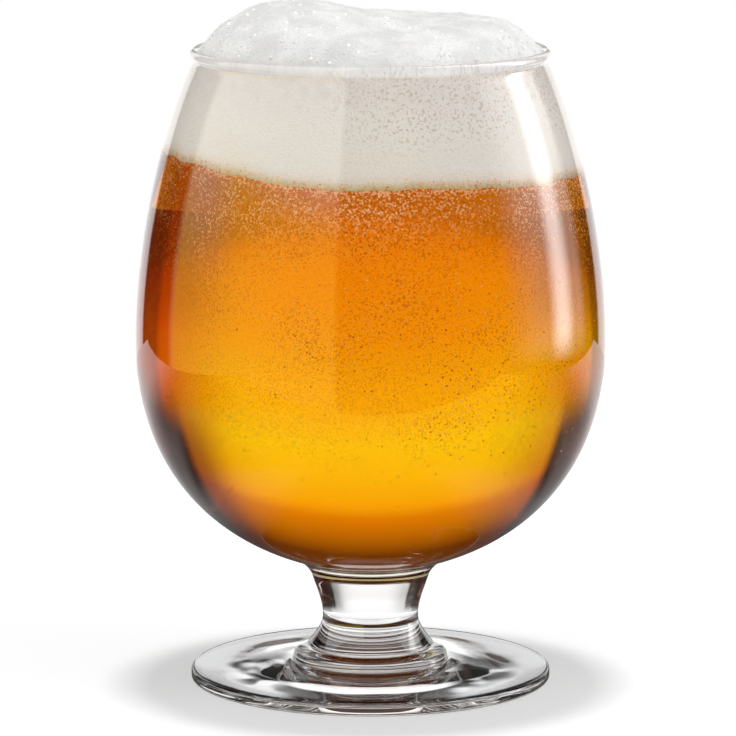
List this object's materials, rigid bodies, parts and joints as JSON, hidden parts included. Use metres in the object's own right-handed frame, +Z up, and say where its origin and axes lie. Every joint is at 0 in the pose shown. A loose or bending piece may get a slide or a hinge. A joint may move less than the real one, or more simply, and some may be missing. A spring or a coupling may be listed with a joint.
{
  "type": "beer glass",
  "caption": "Stemmed beer glass with a tulip-shaped bowl, a stem with a stepped collar and a round foot, holding amber beer under a domed head of foam.",
  "frame": {"origin": "centre of the underside of the foot, on the surface that the glass stands on", "axes": "+Z up along the axis of the glass; +X to the right in the picture, so that the foam's higher side lies towards -X; +Y away from the viewer"},
  "size_m": [0.0886, 0.0886, 0.129],
  "materials": {
    "foot_glass": "polished",
    "stem_glass": "polished",
    "bowl_glass": "polished",
    "beer": "gloss",
    "foam": "matte"
  },
  "bodies": {
    "root": {"foot": "foot_glass", "stem": "stem_glass", "bowl": "bowl_glass", "beer": "beer", "foam": "foam"}
  },
  "joints": []
}
